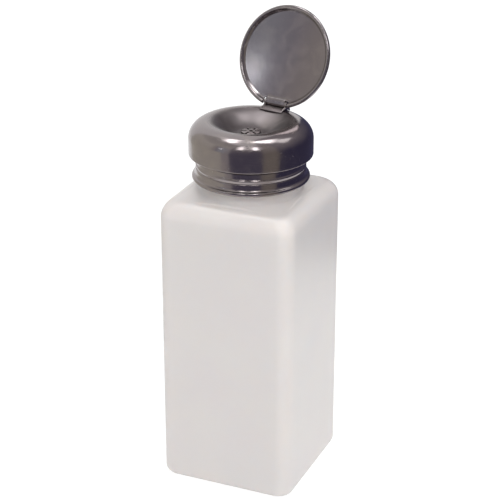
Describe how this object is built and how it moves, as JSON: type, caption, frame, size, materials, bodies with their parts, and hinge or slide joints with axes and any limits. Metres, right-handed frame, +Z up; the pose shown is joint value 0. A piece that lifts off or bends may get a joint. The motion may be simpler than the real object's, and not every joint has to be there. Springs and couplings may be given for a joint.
{
  "type": "pump bottle",
  "caption": "Square plastic solvent bottle with a press-down steel pump head, dished top and hinged round lid, for wetting a cotton pad.",
  "frame": {"origin": "centre of the bottle's flat base, on the neck's axis", "axes": "+Z up along the neck, +X and +Y square to the bottle's sides, the lid's hinge towards +Y"},
  "size_m": [0.052, 0.0558, 0.174],
  "materials": {
    "bottle_plastic": "translucent white blow-moulded plastic, satin",
    "inner_plastic": "natural moulded plastic",
    "dark_plastic": "black seal",
    "liner_plastic": "black moulded plastic",
    "foam": "closed-cell foam",
    "steel": "polished stainless steel with a warm grey tone",
    "bright_steel": "bright steel"
  },
  "bodies": {
    "bottle": {"bottle": "bottle_plastic"},
    "pump": {"pump_barrel": "inner_plastic", "neck_gasket": "foam", "stem_bushing": "inner_plastic", "stem_seal": "dark_plastic", "ball_retainer": "inner_plastic", "dip_tube": "inner_plastic", "return_spring": "bright_steel"},
    "collar": {"screw_collar": "steel", "collar_liner": "liner_plastic"},
    "inlet_ball": {"inlet_ball": "bright_steel"},
    "piston": {"piston": "inner_plastic"},
    "head": {"stem_tube": "inner_plastic", "dish_washer": "dark_plastic", "head_shell": "steel", "outlet_rosette": "steel", "hinge_bracket": "steel", "hinge_pin": "bright_steel"},
    "outlet_ball": {"outlet_ball": "bright_steel"},
    "lid": {"lid": "steel"}
  },
  "joints": [
    {"name": "pump_lift", "type": "slide", "parent": "bottle", "child": "pump", "axis": [0, 0, 1], "range_m": [0, 0.00424]},
    {"name": "collar_unscrew", "type": "hinge", "parent": "pump", "child": "collar", "pos_m": [0, 0, 0.1182], "axis": [0, 0, 1], "range_deg": [0, 360]},
    {"name": "head_press", "type": "slide", "parent": "pump", "child": "piston", "axis": [0, 0, -1], "range_m": [0, 0.006], "stiffness_N_per_m": 700, "springref_m": -0.004, "deforming": ["return_spring"]},
    {"name": "head_swivel", "type": "hinge", "parent": "piston", "child": "head", "pos_m": [0, 0, 0.1262], "axis": [0, 0, 1], "continuous": true},
    {"name": "lid_close", "type": "hinge", "parent": "head", "child": "lid", "pos_m": [0.00281, 0.01697, 0.1399], "axis": [0.9866, -0.1633, 0], "range_deg": [0, 110.7]},
    {"name": "inlet_ball_lift", "type": "slide", "parent": "pump", "child": "inlet_ball", "axis": [0, 0, 1], "range_m": [0, 0.0012]},
    {"name": "outlet_ball_lift", "type": "slide", "parent": "head", "child": "outlet_ball", "axis": [0, 0, 1], "range_m": [0, 0.001]}
  ],
  "couplings": [
    {"joint": "pump_lift", "follows": "collar_unscrew", "m_per_rad": 0.00067323}
  ]
}
